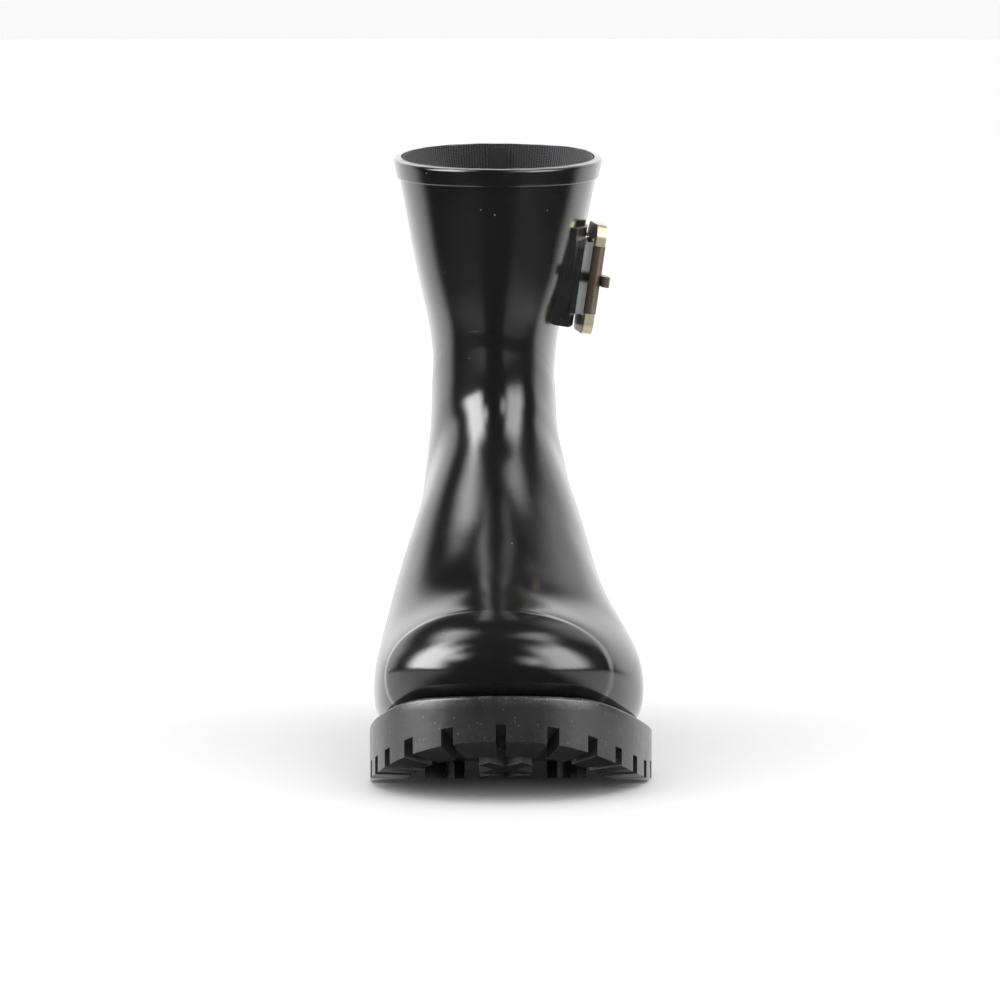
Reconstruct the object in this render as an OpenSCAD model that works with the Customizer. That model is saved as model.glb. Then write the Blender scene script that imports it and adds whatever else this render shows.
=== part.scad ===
// Short rubber rain boot, left foot, built from separate pieces.
// Toe points to -Y, outer side of the foot to +X, up is +Z, floor at Z = 0.

/* [Overall] */
// Length of the outsole, toe tip to heel
sole_length = 285; // [245:1:325]
// Width of the outsole across the ball of the foot
ball_width = 108; // [92:1:124]
// Height of the top edge above the floor
boot_height = 232; // [205:1:300]

/* [Upper] */
// Thickness of the rubber leg and foot shell
upper_wall = 2.0; // [1.4:0.1:3]
// Thickness of the knitted lining
lining_wall = 1.2; // [0.8:0.1:2]
// Thickness of the vamp sheet laid over the foot
vamp_wall = 0.8; // [0.5:0.1:1.4]
// Thickness of the toe cap laid over the vamp
toe_cap_wall = 1.1; // [0.6:0.1:1.6]
// Thickness of the heel counter
counter_wall = 1.0; // [0.6:0.1:1.6]
// Height of the band around the top edge
band_height = 7.5; // [5:0.5:12]
// Thickness of the band around the top edge
band_wall = 1.1; // [0.6:0.1:2]
// Thickness of the loose insole
insole_wall = 3.5; // [2:0.5:5]

/* [Outsole] */
// Depth of the tread channels
lug_depth = 6.5; // [4:0.5:8]
// Width of the channels cut through the rim of the tread
slot_width = 5; // [3:0.5:6.5]
// Width of the block rim measured inward from the sole edge
rim_width = 14; // [11:0.5:17]
// Height of the underside of the arch above the floor
arch_rise = 9; // [7:0.5:11]
// Thickness of the sponge filler let into the sole
filler_wall = 4; // [2:0.5:5]

/* [Strap] */
// Height of the middle of the strap above the floor
strap_height = 186; // [180:1:192]
// Lean of the strap and buckle away from upright, degrees
strap_lean = 8.5; // [7:0.5:13]
// Width of the pad bonded to the leg
pad_width = 40; // [36:1:42]
// Smallest thickness of the pad
pad_wall = 0.8; // [0.6:0.1:2]
// Width of the strap that runs through the buckle
billet_width = 29; // [24:1:30]
// Thickness of the strap
billet_wall = 2.2; // [1.6:0.1:2.6]
// Thickness of one leaf of the folded chape
chape_wall = 0.9; // [0.7:0.1:1.4]

/* [Buckle] */
// Length of the buckle frame along the boot leg
frame_width = 44; // [43:0.5:50]
// Distance from the hinge bar to the roller bar
frame_reach = 24; // [22:0.5:28]
// Width of the side rails of the frame
rail_width = 6.2; // [4:0.2:6.4]
// Thickness of the frame
frame_thick = 3.8; // [3.2:0.1:4.2]
// Diameter of the hinge bar
bar_dia = 2.6; // [2.2:0.1:3.2]
// Diameter of the roller
roller_dia = 5; // [4:0.1:5.6]
// Length of the roller
roller_length = 27; // [22:0.5:28]
// Clearance on the radius of every turning fit
turn_fit = 0.06; // [0.03:0.01:0.1]
// Angle at which the frame stands out from the strap, degrees
frame_lean = 7; // [5:1:12]

/* [Hidden] */

// ---- foot and leg form -------------------------------------------------
sx = ball_width / 108;
sy = sole_length / 285;
leg_z = 150;
function kz(z) = z <= leg_z ? z : leg_z + (z - leg_z) * (boot_height - leg_z) / (232 - leg_z);

// Sections through the boot, swung round a line in front of the ankle.
// front or top point (y z), back or bottom point (y z), inner x, outer x,
// ridge x, place of the widest point, fullness of the top, fullness of the bottom
SECTIONS = [
  [ -136.5,  44.5, -136.5,  44.5,  -4.0, -4.0, -4.0, 0.50, 2.0, 2.0], // toe tip
  [ -139.0,  50.5, -132.5,  39.0, -20.0, 12.0, -4.0, 0.48, 2.0, 2.0],
  [ -136.0,  58.0, -125.5,  36.0, -33.0, 24.5, -5.0, 0.43, 2.0, 2.8],
  [ -127.5,  65.0, -115.5,  32.2, -41.5, 34.0, -5.0, 0.40, 2.0, 4.0], // toe cap
  [ -114.5,  69.0, -103.0,  28.2, -47.0, 41.5, -5.5, 0.37, 2.1, 5.5],
  [  -98.5,  70.5,  -88.0,  24.0, -50.0, 47.0, -6.0, 0.36, 2.1, 6.5],
  [  -80.0,  73.0,  -71.0,  20.2, -51.5, 50.5, -6.0, 0.35, 2.1, 7.0], // ball
  [  -61.0,  79.5,  -52.0,  17.7, -51.0, 48.5, -6.0, 0.34, 2.1, 7.0],
  [  -41.0,  90.5,  -29.0,  17.0, -49.5, 42.5, -6.0, 0.33, 2.1, 6.0], // instep
  [  -21.0, 104.0,    0.0,  18.6, -47.0, 37.0, -6.0, 0.34, 2.1, 5.0],
  [   -6.0, 117.0,   36.0,  24.6, -43.0, 33.5, -6.0, 0.34, 2.1, 5.0], // arch
  [    2.5, 127.0,   74.0,  29.6, -39.5, 30.5, -6.0, 0.33, 2.1, 4.4],
  [    6.0, 134.0,  109.0,  29.8, -38.0, 28.0, -6.0, 0.33, 2.1, 3.4], // heel seat
  [    7.5, 139.5,  135.5,  33.0, -36.5, 25.5, -6.0, 0.36, 2.1, 2.6],
  [    8.0, 144.5,  139.0,  54.0, -34.3, 22.2, -6.0, 0.42, 2.1, 2.3],
  [    8.0, 149.5,  135.0,  81.0, -32.2, 18.4, -6.3, 0.46, 2.2, 2.2], // ankle
  [    7.5, 155.0,  130.0, 108.0, -31.0, 17.0, -6.5, 0.50, 2.2, 2.2],
  [    6.5, 161.5,  127.5, 135.0, -30.8, 17.2, -6.5, 0.52, 2.2, 2.2],
  [    5.5, 170.0,  128.0, 160.0, -32.2, 18.8, -6.5, 0.53, 2.2, 2.2], // leg
  [    4.0, 181.0,  129.0, 181.0, -36.2, 23.6, -6.3, 0.53, 2.2, 2.2],
  [    2.0, 197.0,  130.5, 197.0, -39.5, 27.8, -6.0, 0.53, 2.2, 2.2],
  [   -0.5, 214.0,  132.3, 214.0, -42.4, 31.8, -5.5, 0.53, 2.2, 2.2],
  [   -3.0, 231.0,  134.0, 235.0, -46.0, 35.5, -5.3, 0.53, 2.2, 2.2]  // top edge
];
NR = len(SECTIONS);
NC = 16;
SUB = 2;
W = NC * SUB;
LAST = (NR - 1) * SUB;
FIT = 3 / (2 + cos(360 / NC));

function pw(a, e) = abs(a) < 0.000001 ? 0 : pow(abs(a), 2 / e);
function section(i) =
  let (q = SECTIONS[i], a = [q[0] * sy, kz(q[1])], b = [q[2] * sy, kz(q[3])], m = b + q[7] * (a - b))
  [for (j = [0:NC - 1])
    let (c = cos(360 * j / NC), s = sin(360 * j / NC), e = c >= 0 ? q[8] : q[9],
         p = m + ((c >= 0 ? a : b) - m) * pw(c, e))
    [sx * (q[6] + ((s >= 0 ? q[5] : q[4]) - q[6]) * pw(s, e)), p[0], p[1]]];
function total(v, i = 0) = i == len(v) - 1 ? v[i] : v[i] + total(v, i + 1);
function fitted(v) = let (c = total(v) / len(v)) [for (p = v) c + (p - c) * FIT];
NET = [for (i = [0:NR - 1]) fitted(section(i))];
NETX = concat([[for (j = [0:NC - 1]) NET[1][(j + NC / 2) % NC]]], NET,
              [[for (j = [0:NC - 1]) 2 * NET[NR - 1][j] - NET[NR - 2][j]]]);
function bw(t) = [pow(1 - t, 3), 3 * t * t * t - 6 * t * t + 4,
                  3 * t + 3 * t * t - 3 * t * t * t + 1, t * t * t] / 6;
LINES = [for (r = [0:LAST]) let (i = min(floor(r / SUB), NR - 2), w = bw(r / SUB - i))
  [for (j = [0:NC - 1])
    w[0] * NETX[i][j] + w[1] * NETX[i + 1][j] + w[2] * NETX[i + 2][j] + w[3] * NETX[i + 3][j]]];
GRID = [for (r = [0:LAST]) [for (c = [0:W - 1]) let (j = floor(c / SUB), w = bw(c / SUB - j))
  w[0] * LINES[r][(j + NC - 1) % NC] + w[1] * LINES[r][j]
  + w[2] * LINES[r][(j + 1) % NC] + w[3] * LINES[r][(j + 2) % NC]]];
function unit(v) = norm(v) < 0.000001 ? [0, 0, 1] : v / norm(v);
NORM = [for (r = [0:LAST]) [for (c = [0:W - 1])
  r == 0 ? unit([0, -1, -0.1])
         : unit(cross(GRID[r][(c + 1) % W] - GRID[r][(c + W - 1) % W],
                      GRID[min(r + 1, LAST)][c] - GRID[r - 1][c]))]];
function cell(g, r, c) =
  let (i = min(floor(r), LAST - 1), u = r - i, j = floor(c), v = c - j, j0 = (j + W) % W, j1 = (j + 1 + W) % W)
  (g[i][j0] * (1 - v) + g[i][j1] * v) * (1 - u) + (g[i + 1][j0] * (1 - v) + g[i + 1][j1] * v) * u;
function at(r, c, d) = cell(GRID, r, c) + d * unit(cell(NORM, r, c));

// A sheet between two offsets of the form, over the cells that are marked.
module sheet(rows, cols, ring, inner, outer, marked) {
  R = len(rows);
  C = len(cols);
  pole = rows[0] == 0;
  n = R * C;
  cc = ring ? C : C - 1;
  pts = concat([for (r = rows) for (c = cols) at(r, c, outer)],
               [for (r = rows) for (c = cols) at(r, c, inner)]);
  skin(pts, R, C, cc, n, pole, marked);
}
function vid(r, c, C, pole) = r == 0 && pole ? 0 : r * C + c % C;
function is_on(m, r, c, R, cc, C) =
  r < 0 || r >= R - 1 ? false : cc == C ? m[r][(c + C) % C] : c < 0 || c >= cc ? false : m[r][c];
module skin(pts, R, C, cc, n, pole, m) {
  f = [for (r = [0:R - 2]) for (c = [0:cc - 1]) if (m[r][c])
    let (a = vid(r, c, C, pole), b = vid(r, c + 1, C, pole),
         d = vid(r + 1, c, C, pole), e = vid(r + 1, c + 1, C, pole), tip = r == 0 && pole)
    each concat(
      [[a, d, e], [a + n, e + n, d + n]],
      tip ? [] : [[a, e, b], [a + n, b + n, e + n]],
      is_on(m, r, c - 1, R, cc, C) ? [] : [[d, a, a + n], [d, a + n, d + n]],
      is_on(m, r, c + 1, R, cc, C) ? [] : [[b, e, e + n], [b, e + n, b + n]],
      is_on(m, r + 1, c, R, cc, C) ? [] : [[e, d, d + n], [e, d + n, e + n]],
      tip || is_on(m, r - 1, c, R, cc, C) ? [] : [[a, b, b + n], [a, b + n, a + n]])];
  polyhedron(points = pts, faces = f, convexity = 8);
}
function all_on(R, C) = [for (r = [0:R - 1]) [for (c = [0:C - 1]) true]];
function span(a, b) = [for (i = [a:b]) i];

// ---- where the pieces of the upper begin and end -----------------------
hole_r0 = 6;
hole_r1 = 25;
hole_c0 = 13;
hole_c1 = 19;
board_gap = 0.03; // in cells of the form
function bottom_on(r, c) = r >= hole_r0 && r < hole_r1 && c >= hole_c0 && c < hole_c1;
vamp_row = 34;
counter_row = 31;
counter_r0 = 21;
cap_row = 9;
side_col = 10;
foot_col = 13;
band_row = LAST - 1 + (1 - band_height / (GRID[LAST][0][2] - GRID[LAST - 1][0][2]));

// ---- strap frame -------------------------------------------------------
side = W / 4;
function row_at_z(c, z, r = 30) =
  r >= LAST - 1 || cell(GRID, r + 1, c)[2] > z
    ? r + (z - cell(GRID, r, c)[2]) / (cell(GRID, r + 1, c)[2] - cell(GRID, r, c)[2])
    : row_at_z(c, z, r + 1);
mid_z = kz(strap_height);
P0 = at(row_at_z(side, mid_z), side, 0);
lean = strap_lean;
// a boot point seen from the strap: out from the leg, back, up along the strap face
function loc(p) = [(p[0] - P0[0]) * cos(lean) - (p[2] - P0[2]) * sin(lean), p[1] - P0[1],
                   (p[0] - P0[0]) * sin(lean) + (p[2] - P0[2]) * cos(lean)];
function glob(q) = [P0[0] + q[0] * cos(lean) + q[2] * sin(lean), P0[1] + q[1],
                    P0[2] - q[0] * sin(lean) + q[2] * cos(lean)];
module on_leg() {
  translate(P0) rotate([0, lean, 0]) children();
}
// point of grid line c on the leg at height t along the strap face
function on_col(c, t, r = 30) =
  let (p = loc(cell(GRID, r, c)), q = loc(cell(GRID, r + 1, c)))
  r >= LAST - 1 || q[2] > t ? p + (q - p) * (t - p[2]) / (q[2] - p[2]) : on_col(c, t, r + 1);
// the front edge of the pad slants back towards its lower end
function pad_c0(t) = side - 2.98 + 0.88 * (0.5 - t / pad_width);
function pad_cols(t) = concat([pad_c0(t)], [for (k = [0:10]) side - 2 + k / 2]);
pad_c1 = side + 3;
pad_n = 11;
pad_ts = [for (k = [0:8]) pad_width * (k / 8 - 0.5)];
front_y = on_col(pad_c0(0), 0)[1];
back_y = on_col(pad_c1, 0)[1];
// the strap face is a round cylinder standing on the leg
arc_half = 30;
mid_cols = pad_cols(0);
function n_at_y(y, t, k = 0) =
  let (p = on_col(mid_cols[k], t), q = on_col(mid_cols[k + 1], t))
  k >= pad_n - 1 || q[1] > y ? p[0] + (q[0] - p[0]) * (y - p[1]) / (q[1] - p[1]) : n_at_y(y, t, k + 1);
arc_sag = 0.5 * (2 * n_at_y(0, 0) - n_at_y(-arc_half, 0) - n_at_y(arc_half, 0));
arc_r = arc_half * arc_half / (2 * arc_sag) + arc_sag / 2;
function arc_n(y) = sqrt(arc_r * arc_r - y * y) - arc_r;
pad_lift = pad_wall + max([for (t = pad_ts) for (c = pad_cols(t)) let (p = on_col(c, t)) p[0] - arc_n(p[1])]);
arc_c = pad_lift - arc_r;
// distance from the arc centre out, and angle along the strap
function pol(h, y) = let (a = asin(y / arc_r)) [arc_c + (arc_r + h) * cos(a), (arc_r + h) * sin(a)];
function ease(t) = t <= 0 ? 0 : t >= 1 ? 1 : t * t * (3 - 2 * t);

// hinge bar
bar_y = 2;
fold_r = bar_dia / 2 + turn_fit + chape_wall;
eye_r = bar_dia / 2 + turn_fit + 0.9;
bar_h = max(fold_r, eye_r) + 0.3;
bar = pol(bar_h, bar_y);
tip_y = bar_y + 25;
tail_y = bar_y + 34;
leaf_top = 2 * chape_wall;
leaf_gap = 0.08;
// height of the underside of the strap above the pad
function strap_h(y) =
  y < bar_y + 1 ? 0.05 + (bar_h + fold_r + 0.1) * ease((y - (bar_y - 26)) / 23)
                : leaf_top + 0.2 + (bar_h + fold_r - 0.05 - leaf_top) * (1 - ease((y - bar_y - 1.5) / 12));
function run(a, b, n) = [for (i = [0:n]) a + (b - a) * i / n];
billet_y = front_y + 2.5;
billet_ys = concat([billet_y], run(bar_y - 26, bar_y - 2, 14),
                   run(bar_y, bar_y + 14, 10), run(bar_y + 16, tip_y, 3));
module rounded(w, h, r) {
  translate([-w / 2 + r, -h / 2]) square([w - 2 * r, h]);
  translate([-w / 2, -h / 2 + r]) square([w, h - 2 * r]);
  for (i = [-1, 1]) for (k = [-1, 1]) translate([i * (w / 2 - r), k * (h / 2 - r)]) circle(r, $fn = 32);
}
// plan shape in y and t laid over a side shape in n and y
module side_extrude(w) {
  translate([0, 0, -w / 2]) linear_extrude(height = w) children();
}
module plan_extrude() {
  rotate([0, 90, 0]) translate([0, 0, -20]) linear_extrude(height = 60) children();
}

// ---- outsole -----------------------------------------------------------
EDGE = [
  [-4, -143], [15, -141.5], [32, -132], [44.5, -114], [52, -90], [55, -64], [51.5, -36], [44, -8],
  [38, 22], [35, 52], [35, 82], [34, 108], [28.5, 130], [13, 142], [-4, 143.5], [-21, 142],
  [-36, 130], [-42, 108], [-43.5, 80], [-44, 52], [-46.5, 22], [-50, -8], [-53.5, -36],
  [-55, -64], [-54.5, -90], [-50.5, -112], [-41, -130], [-24, -141]
];
NE = len(EDGE);
function edge_raw(u) = let (i = floor(u), w = bw(u - i))
  w[0] * EDGE[(i - 1 + 4 * NE) % NE] + w[1] * EDGE[(i + 4 * NE) % NE]
  + w[2] * EDGE[(i + 1 + 4 * NE) % NE] + w[3] * EDGE[(i + 2 + 4 * NE) % NE];
// the outline is centred on the frame's origin
EDGE_MID = [-0.404, 0.292];
function edge(u) = let (p = edge_raw(u) - EDGE_MID) [p[0] * sx, p[1] * sy];
function edge_dir(u) = let (d = edge(u + 0.05) - edge(u - 0.05)) d / norm(d);
function inset(u, d) = let (p = edge(u), v = edge_dir(u)) p + d * [-v[1], v[0]];
function outline(d, n) = [for (k = [0:n * NE - 1]) inset(k / n, d)];
// height of the sole's upper face along the boot
SEAT = [for (r = [4:25]) [GRID[r][W / 2][1], GRID[r][W / 2][2]]];
seat_a = SEAT[0];
seat_b = SEAT[len(SEAT) - 1];
toe_top = [[-150 * sy, seat_a[1] + 5.6], [seat_a[0] - 7, seat_a[1] + 5]];
heel_top = [[150 * sy, seat_b[1] + 0.3]];
TOP = concat(toe_top, SEAT, heel_top);
// underside of the tread along the boot
BOTTOM = [
  [-150, 27.5], [-141, 22.4], [-135, 19], [-128, 15.3], [-120, 11.8], [-111, 8.3], [-101, 5.2],
  [-91, 2.8], [-81, 1.1], [-71, 0.2], [-64, 0]
];
tread_end = 0;
breast = 62;
function lift_path(v, d) = [for (p = v) [p[0], p[1] + d]];
function reversed(v) = [for (i = [len(v) - 1:-1:0]) v[i]];
BOT = [for (p = BOTTOM) [p[0] * sy, p[1]]];
module across(w = 260) {
  rotate([90, 0, 90]) translate([0, 0, -w / 2]) linear_extrude(height = w) children();
}
module sole_side() {
  polygon(concat(TOP, [[150 * sy, 4.5], [140 * sy, 1.2], [132 * sy, 0], [breast * sy, 0],
    [(breast - 3.5) * sy, arch_rise], [(tread_end + 14) * sy, arch_rise],
    [(tread_end + 3) * sy, 0]], reversed(BOT)));
}
module tread_zone() {
  polygon(concat([[(tread_end + 20) * sy, lug_depth - 0.03]],
    reversed(lift_path(BOT, lug_depth)), lift_path(BOT, -20), [[(tread_end + 20) * sy, -20]]));
}
module heel_zone() {
  polygon([[(breast - 6) * sy, -20], [150 * sy, -20], [150 * sy, 4.5 + lug_depth - 1.5],
    [140 * sy, 1.2 + lug_depth - 1.5], [132 * sy, lug_depth - 1.5], [(breast - 6) * sy, lug_depth - 1.5]]);
}
FORE_SLOTS = [1.05, 1.95, 2.7, 3.35, 3.95, 4.55, 5.15, 5.75, 6.35, 6.95];
HEEL_SLOTS = [0.5, 1.45, 2.25, 2.95, 3.6];
STARS = [-112, -88, -63, -38, -14];
module slot(u, w) {
  v = edge_dir(u);
  translate(edge(u)) rotate(atan2(v[1], v[0])) translate([-w / 2, -4]) square([w, rim_width + 4.4]);
}
module star(r) {
  for (a = [45, 135]) rotate(a) square([2 * r, 5.4], center = true);
  circle(4.6, $fn = 24);
}
module fore_channels() {
  for (u = FORE_SLOTS) {
    slot(u, slot_width);
    slot(NE - u, slot_width);
  }
  slot(0, slot_width * 0.8);
  difference() {
    intersection() {
      polygon(outline(rim_width, 3));
      translate([-80, -160 * sy]) square([160, (160 + tread_end - 1) * sy]);
    }
    for (k = [0:len(STARS) - 1]) translate([-2 * sx, STARS[k] * sy]) {
      star(11.5 * sx);
      for (i = [-1, 1]) if (k > 0) translate([i * 23.5 * sx, 12.5 * sy]) star(8 * sx);
    }
  }
}
module heel_channels() {
  for (u = HEEL_SLOTS) {
    slot(14 - u, slot_width);
    slot(14 + u, slot_width);
  }
  difference() {
    intersection() {
      polygon(outline(rim_width - 1, 3));
      translate([-80, (breast + 7) * sy]) square([160, 100]);
    }
    for (y = [85, 108]) translate([-4 * sx, y * sy]) star(10.5 * sx);
  }
}
// hollow for the sponge filler
fill_a = -104;
fill_b = -6;
function seat_run(a, b) =
  concat([[a, lookup(a, SEAT)]], [for (p = SEAT) if (p[0] > a && p[0] < b) p], [[b, lookup(b, SEAT)]]);
module fill_side(a, b, d) {
  pts = seat_run(a, b);
  polygon(concat(pts, reversed(lift_path(pts, -d))));
}
module fore_fill() {
  intersection() {
    translate([0, 0, -5]) linear_extrude(height = 80) polygon(outline(19, 3));
    across() fill_side(fill_a * sy, fill_b * sy, filler_wall);
  }
}
heel_a = 66;
heel_b = 118;
module heel_fill() {
  floor_z = arch_rise + 1;
  intersection() {
    translate([0, 0, -5]) linear_extrude(height = 80) polygon(outline(15, 3));
    across() polygon(concat(seat_run(heel_a * sy, heel_b * sy),
      [[heel_b * sy, floor_z], [heel_a * sy, floor_z]]));
  }
}
// the space that the bottom edges of the upper's sheets take in the seat
skirt_r1 = 29;
skirt_c0 = 6;
toe_deep = 4;
function skirt_top(r) =
  vamp_wall + (r <= cap_row ? toe_cap_wall : r >= counter_r0 - 1 ? counter_wall : 0) + 0.08;
module skirt_space() {
  rows = span(0, skirt_r1);
  cols = span(skirt_c0, W - skirt_c0);
  n = len(rows) * len(cols);
  pts = concat([for (r = rows) for (c = cols) at(r, c, skirt_top(r))],
               [for (r = rows) for (c = cols) at(r, c, r <= toe_deep ? -2 * upper_wall : -upper_wall / 2)]);
  skin(pts, len(rows), len(cols), len(cols) - 1, n, true,
    [for (r = rows) [for (c = cols) !bottom_on(r, c)]]);
}

// ======================= sole ===========================================
module outsole() {
  color([0.06, 0.06, 0.065])
  difference() {
    intersection() {
      translate([0, 0, -5]) linear_extrude(height = 80) polygon(outline(0, 4));
      across() sole_side();
    }
    intersection() {
      translate([0, 0, -5]) linear_extrude(height = 60) fore_channels();
      across() tread_zone();
    }
    intersection() {
      translate([0, 0, -5]) linear_extrude(height = 40) heel_channels();
      across() heel_zone();
    }
    fore_fill();
    heel_fill();
    skirt_space();
  }
}
module forefoot_filler() {
  color([0.35, 0.33, 0.3]) fore_fill();
}
module heel_filler() {
  color([0.33, 0.31, 0.28]) heel_fill();
}

// ======================= inside =========================================
module insole_board() {
  rows = concat([hole_r0 + board_gap], span(hole_r0 + 1, hole_r1 - 1), [hole_r1 - board_gap]);
  cols = concat([hole_c0 + board_gap], span(hole_c0 + 1, hole_c1 - 1), [hole_c1 - board_gap]);
  color([0.55, 0.45, 0.32])
  sheet(rows, cols, false, 0.05 - upper_wall, 0, all_on(len(rows), len(cols)));
}
module insole() {
  rows = span(hole_r0, hole_r1 - 1);
  cols = span(hole_c0, hole_c1);
  d = upper_wall + lining_wall + 0.1;
  color([0.2, 0.2, 0.21])
  sheet(rows, cols, false, -d - insole_wall, -d, all_on(len(rows), len(cols)));
}
module lining() {
  color([0.16, 0.16, 0.17])
  sheet(span(0, LAST), span(0, W - 1), true, -upper_wall - lining_wall, -upper_wall, all_on(LAST + 1, W));
}
module lining_tape() {
  rows = concat(span(30, LAST - 1), [LAST - 0.1]);
  cols = [W / 2 - 0.6, W / 2, W / 2 + 0.6];
  d = upper_wall + lining_wall;
  color([0.05, 0.05, 0.05])
  sheet(rows, cols, false, -d - 0.8, -d - 0.02, all_on(len(rows), len(cols)));
}

// ======================= upper ==========================================
module upper_shell() {
  color([0.03, 0.03, 0.035])
  sheet(span(0, LAST), span(0, W - 1), true, -upper_wall, 0,
    [for (r = [0:LAST]) [for (c = [0:W - 1]) !bottom_on(r, c)]]);
}
module vamp() {
  color([0.035, 0.035, 0.04])
  sheet(span(0, vamp_row), span(0, W - 1), true, 0, vamp_wall,
    [for (r = [0:vamp_row]) [for (c = [0:W - 1])
      (c < foot_col || c >= W - foot_col || r < 4 || r >= hole_r1)]]);
}
module toe_cap() {
  color([0.04, 0.04, 0.045])
  sheet(span(0, cap_row), span(0, W - 1), true, vamp_wall, vamp_wall + toe_cap_wall,
    [for (r = [0:cap_row]) [for (c = [0:W - 1]) (c < 12 || c >= W - 12 || r < 3)]]);
}
module heel_counter() {
  rows = span(counter_r0, counter_row);
  cols = span(side_col, W - side_col);
  color([0.035, 0.035, 0.04])
  sheet(rows, cols, false, vamp_wall, vamp_wall + counter_wall,
    [for (r = rows) [for (c = cols) !(r < hole_r1 && c >= foot_col && c < W - foot_col)
      && (r > counter_r0 + 1 || c == foot_col - 1 || c == W - foot_col)
      && (r > counter_r0 + 2 || c > side_col && c < W - side_col - 1)]]);
}
module back_stay() {
  rows = concat(span(vamp_row, floor(band_row)), [band_row - 0.02]);
  cols = [W / 2 - 1.2, W / 2 - 1, W / 2, W / 2 + 1, W / 2 + 1.2];
  color([0.035, 0.035, 0.04])
  sheet(rows, cols, false, 0, 1, all_on(len(rows), len(cols)));
}
module top_band() {
  color([0.035, 0.035, 0.04])
  sheet([band_row, LAST], span(0, W - 1), true, 0, band_wall, all_on(2, W));
}

// ======================= strap ==========================================
module strap_pad() {
  R = len(pad_ts);
  C = pad_n + 1;
  inner = [for (t = pad_ts) for (c = pad_cols(t)) let (p = on_col(c, t)) glob([p[0] + 0.06, p[1], p[2]])];
  outer = [for (t = pad_ts) for (c = pad_cols(t))
    let (p = on_col(c, t), q = pol(0, p[1])) glob([q[0], q[1], p[2]])];
  color([0.045, 0.045, 0.05]) skin_strap(concat(outer, inner), R, C);
}
module skin_strap(pts, R, C) {
  n = R * C;
  f = [for (r = [0:R - 2]) for (c = [0:C - 2])
    let (a = r * C + c, b = a + 1, d = a + C, e = a + C + 1)
    each concat(
      [[a, d, e], [a, e, b], [a + n, e + n, d + n], [a + n, b + n, e + n]],
      c > 0 ? [] : [[d, a, a + n], [d, a + n, d + n]],
      c < C - 2 ? [] : [[b, e, e + n], [b, e + n, b + n]],
      r < R - 2 ? [] : [[e, d, d + n], [e, d + n, e + n]],
      r > 0 ? [] : [[a, b, b + n], [a, b + n, a + n]])];
  polyhedron(points = pts, faces = f, convexity = 6);
}
slot_a = bar_y - 18;
slot_b = bar_y + 2.4;
module billet_plan() {
  l = tip_y - billet_y;
  difference() {
    union() {
      translate([-billet_width / 2, billet_y + 3]) square([billet_width, l - 12]);
      translate([0, billet_y + 3]) rounded(billet_width, 6, 2.5);
      translate([0, tip_y - 9]) intersection() {
        scale([1, 0.62]) circle(billet_width / 2, $fn = 64);
        translate([-30, 0]) square([60, 30]);
      }
    }
    translate([0, slot_a + 2.4]) circle(2.4, $fn = 32);
    translate([0, slot_b - 2.4]) circle(2.4, $fn = 32);
    translate([-2.4, slot_a + 2.4]) square([4.8, slot_b - slot_a - 4.8]);
  }
}
module billet_side() {
  polygon(concat([for (y = billet_ys) pol(strap_h(y), y)],
    reversed([for (y = billet_ys) pol(strap_h(y) + billet_wall, y)])));
}
module billet() {
  color([0.05, 0.05, 0.055])
  on_leg() intersection() {
    side_extrude(billet_width + 2) billet_side();
    plan_extrude() billet_plan();
  }
}
// folded strip: lower leaf, turn round the hinge bar, upper leaf
function chape_top(y) =
  leaf_top + leaf_gap + (bar_h + fold_r - leaf_top - leaf_gap) * (1 - ease((y - bar_y) / 12));
fold_k = fold_r - chape_wall;
module chape_side() {
  lower = run(tail_y, bar_y + 4, 8);
  upper = run(bar_y + 0.8, tail_y, 16);
  turn = [for (a = [-12:12:192]) a];
  polygon(concat(
    [for (y = lower) pol(0.03, y)],
    [for (a = turn) bar + fold_r * [-cos(a), -sin(a)]],
    [for (y = upper) pol(chape_top(y), y)],
    reversed([for (y = upper) pol(chape_top(y) - chape_wall, y)]),
    reversed([for (a = turn) bar + fold_k * [-cos(a), -sin(a)]]),
    reversed([for (y = lower) pol(0.03 + chape_wall, y)])));
}
module chape() {
  w = billet_width - 2;
  color([0.05, 0.05, 0.055])
  on_leg() difference() {
    side_extrude(w) chape_side();
    plan_extrude() {
      translate([-4, bar_y - 6]) square([8, 12]);
      translate([0, bar_y + 6]) circle(4, $fn = 32);
    }
    for (t = [-8, 8]) rivet_hole(t);
  }
}
rivet_y = tail_y - 4;
module rivet_hole(t) {
  q = pol(0, rivet_y);
  translate([q[0], q[1], t]) rotate([0, 90, atan2(q[1], q[0] - arc_c)]) translate([0, 0, -6])
    cylinder(h = 12, r = 1.1, $fn = 32);
}
module keeper_loop() {
  y = bar_y + 16.5;
  q = pol(0, y);
  top = leaf_top + 0.1 + billet_wall + 0.25;
  w = billet_width + 0.6;
  color([0.05, 0.05, 0.055])
  on_leg() translate([q[0], q[1], 0]) rotate([0, 0, atan2(q[1], q[0] - arc_c)]) translate([0.12, 0, 0])
    difference() {
      translate([0, -3, -w / 2 - 1.3]) cube([top + 1.2, 6, w + 2.6]);
      translate([-1, -4, -w / 2]) cube([top + 1, 8, w]);
    }
}
module chape_rivets() {
  q = pol(0, rivet_y);
  color([0.62, 0.52, 0.34])
  on_leg() for (t = [-8, 8]) translate([q[0], q[1], t]) rotate([0, 90, atan2(q[1], q[0] - arc_c)]) {
    translate([0, 0, 0.1]) cylinder(h = leaf_top + leaf_gap, r = 1.08, $fn = 32);
    translate([0, 0, leaf_top + leaf_gap + 0.03]) {
      cylinder(h = 0.7, r = 2.6, $fn = 32);
      translate([0, 0, 0.7]) cylinder(h = 0.5, r1 = 2.6, r2 = 1.6, $fn = 32);
    }
  }
}

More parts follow.
